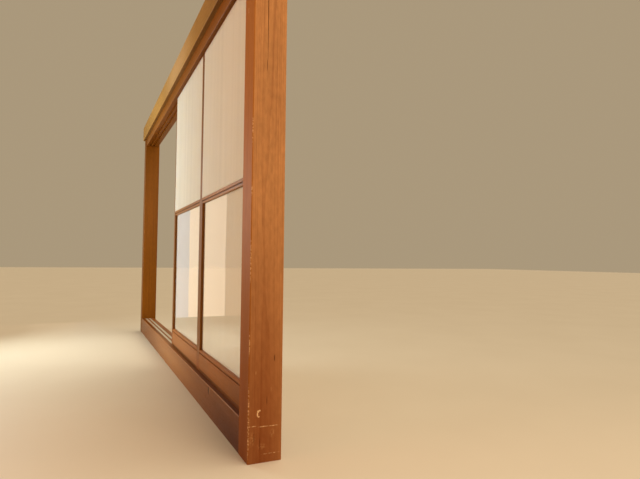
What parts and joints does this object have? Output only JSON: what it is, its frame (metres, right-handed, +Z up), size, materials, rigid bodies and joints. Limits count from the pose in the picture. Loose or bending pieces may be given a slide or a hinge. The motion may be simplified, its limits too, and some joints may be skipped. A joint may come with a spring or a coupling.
{
  "type": "sliding shoji screens in a timber door frame",
  "caption": "Timber-framed opening with sliding paper-and-glass lattice screens on two tracks; inner screens lift behind the lower glass.",
  "frame": {"origin": "middle of the whole frame's footprint, on the corridor floor", "axes": "+X along the opening towards the corner post where the screens are stacked, +Y from the corridor into the room, +Z up"},
  "size_m": [3.77, 0.149, 2.106],
  "materials": {
    "post_wood": "satin",
    "sill_wood": "gloss",
    "head_wood": "satin",
    "trim_wood": "satin",
    "screen_wood": "satin",
    "lattice_wood": "matte",
    "hidden_wood": "matte",
    "shoji_paper": "matte",
    "clear_glass": "polished",
    "slide_tape": "gloss",
    "spring_steel": "satin"
  },
  "bodies": {
    "frame": {"sill_track": "sill_wood", "head_track": "head_wood", "corner_post": "post_wood", "far_post": "post_wood", "trim_beam": "trim_wood", "riser_board": "sill_wood", "sill_blocks": "hidden_wood", "slide_tapes": "slide_tape"},
    "front_right_screen": {"front_right_near_stile": "screen_wood", "front_right_far_stile": "screen_wood", "front_right_top_rail": "screen_wood", "front_right_mid_rail": "screen_wood", "front_right_bottom_rail": "screen_wood", "front_right_lattice": "lattice_wood", "front_right_paper": "shoji_paper", "front_right_glass": "clear_glass"},
    "front_right_lift_screen": {"front_right_lift_stiles": "screen_wood", "front_right_lift_rails": "screen_wood", "front_right_lift_lattice": "lattice_wood", "front_right_lift_paper": "shoji_paper", "front_right_lift_springs": "spring_steel"},
    "front_left_screen": {"front_left_near_stile": "screen_wood", "front_left_far_stile": "screen_wood", "front_left_top_rail": "screen_wood", "front_left_mid_rail": "screen_wood", "front_left_bottom_rail": "screen_wood", "front_left_lattice": "lattice_wood", "front_left_paper": "shoji_paper", "front_left_glass": "clear_glass"},
    "front_left_lift_screen": {"front_left_lift_stiles": "screen_wood", "front_left_lift_rails": "screen_wood", "front_left_lift_lattice": "lattice_wood", "front_left_lift_paper": "shoji_paper", "front_left_lift_springs": "spring_steel"},
    "rear_right_screen": {"rear_right_near_stile": "screen_wood", "rear_right_far_stile": "screen_wood", "rear_right_top_rail": "screen_wood", "rear_right_mid_rail": "screen_wood", "rear_right_bottom_rail": "screen_wood", "rear_right_lattice": "lattice_wood", "rear_right_paper": "shoji_paper", "rear_right_glass": "clear_glass"},
    "rear_right_lift_screen": {"rear_right_lift_stiles": "screen_wood", "rear_right_lift_rails": "screen_wood", "rear_right_lift_lattice": "lattice_wood", "rear_right_lift_paper": "shoji_paper", "rear_right_lift_springs": "spring_steel"},
    "rear_left_screen": {"rear_left_near_stile": "screen_wood", "rear_left_far_stile": "screen_wood", "rear_left_top_rail": "screen_wood", "rear_left_mid_rail": "screen_wood", "rear_left_bottom_rail": "screen_wood", "rear_left_lattice": "lattice_wood", "rear_left_paper": "shoji_paper", "rear_left_glass": "clear_glass"},
    "rear_left_lift_screen": {"rear_left_lift_stiles": "screen_wood", "rear_left_lift_rails": "screen_wood", "rear_left_lift_lattice": "lattice_wood", "rear_left_lift_paper": "shoji_paper", "rear_left_lift_springs": "spring_steel"}
  },
  "joints": [
    {"name": "front_right_slide", "type": "slide", "parent": "frame", "child": "front_right_screen", "axis": [-1, 0, 0], "range_m": [0, 0.8645]},
    {"name": "front_left_slide", "type": "slide", "parent": "front_right_screen", "child": "front_left_screen", "axis": [-1, 0, 0], "range_m": [0, 0.8645]},
    {"name": "rear_right_slide", "type": "slide", "parent": "frame", "child": "rear_right_screen", "axis": [-1, 0, 0], "range_m": [0, 0.8645]},
    {"name": "rear_left_slide", "type": "slide", "parent": "rear_right_screen", "child": "rear_left_screen", "axis": [-1, 0, 0], "range_m": [0, 0.8645]},
    {"name": "front_right_lift", "type": "slide", "parent": "front_right_screen", "child": "front_right_lift_screen", "axis": [0, 0, 1], "range_m": [0, 0.8]},
    {"name": "front_left_lift", "type": "slide", "parent": "front_left_screen", "child": "front_left_lift_screen", "axis": [0, 0, 1], "range_m": [0, 0.8]},
    {"name": "rear_right_lift", "type": "slide", "parent": "rear_right_screen", "child": "rear_right_lift_screen", "axis": [0, 0, 1], "range_m": [0, 0.8]},
    {"name": "rear_left_lift", "type": "slide", "parent": "rear_left_screen", "child": "rear_left_lift_screen", "axis": [0, 0, 1], "range_m": [0, 0.8]}
  ]
}
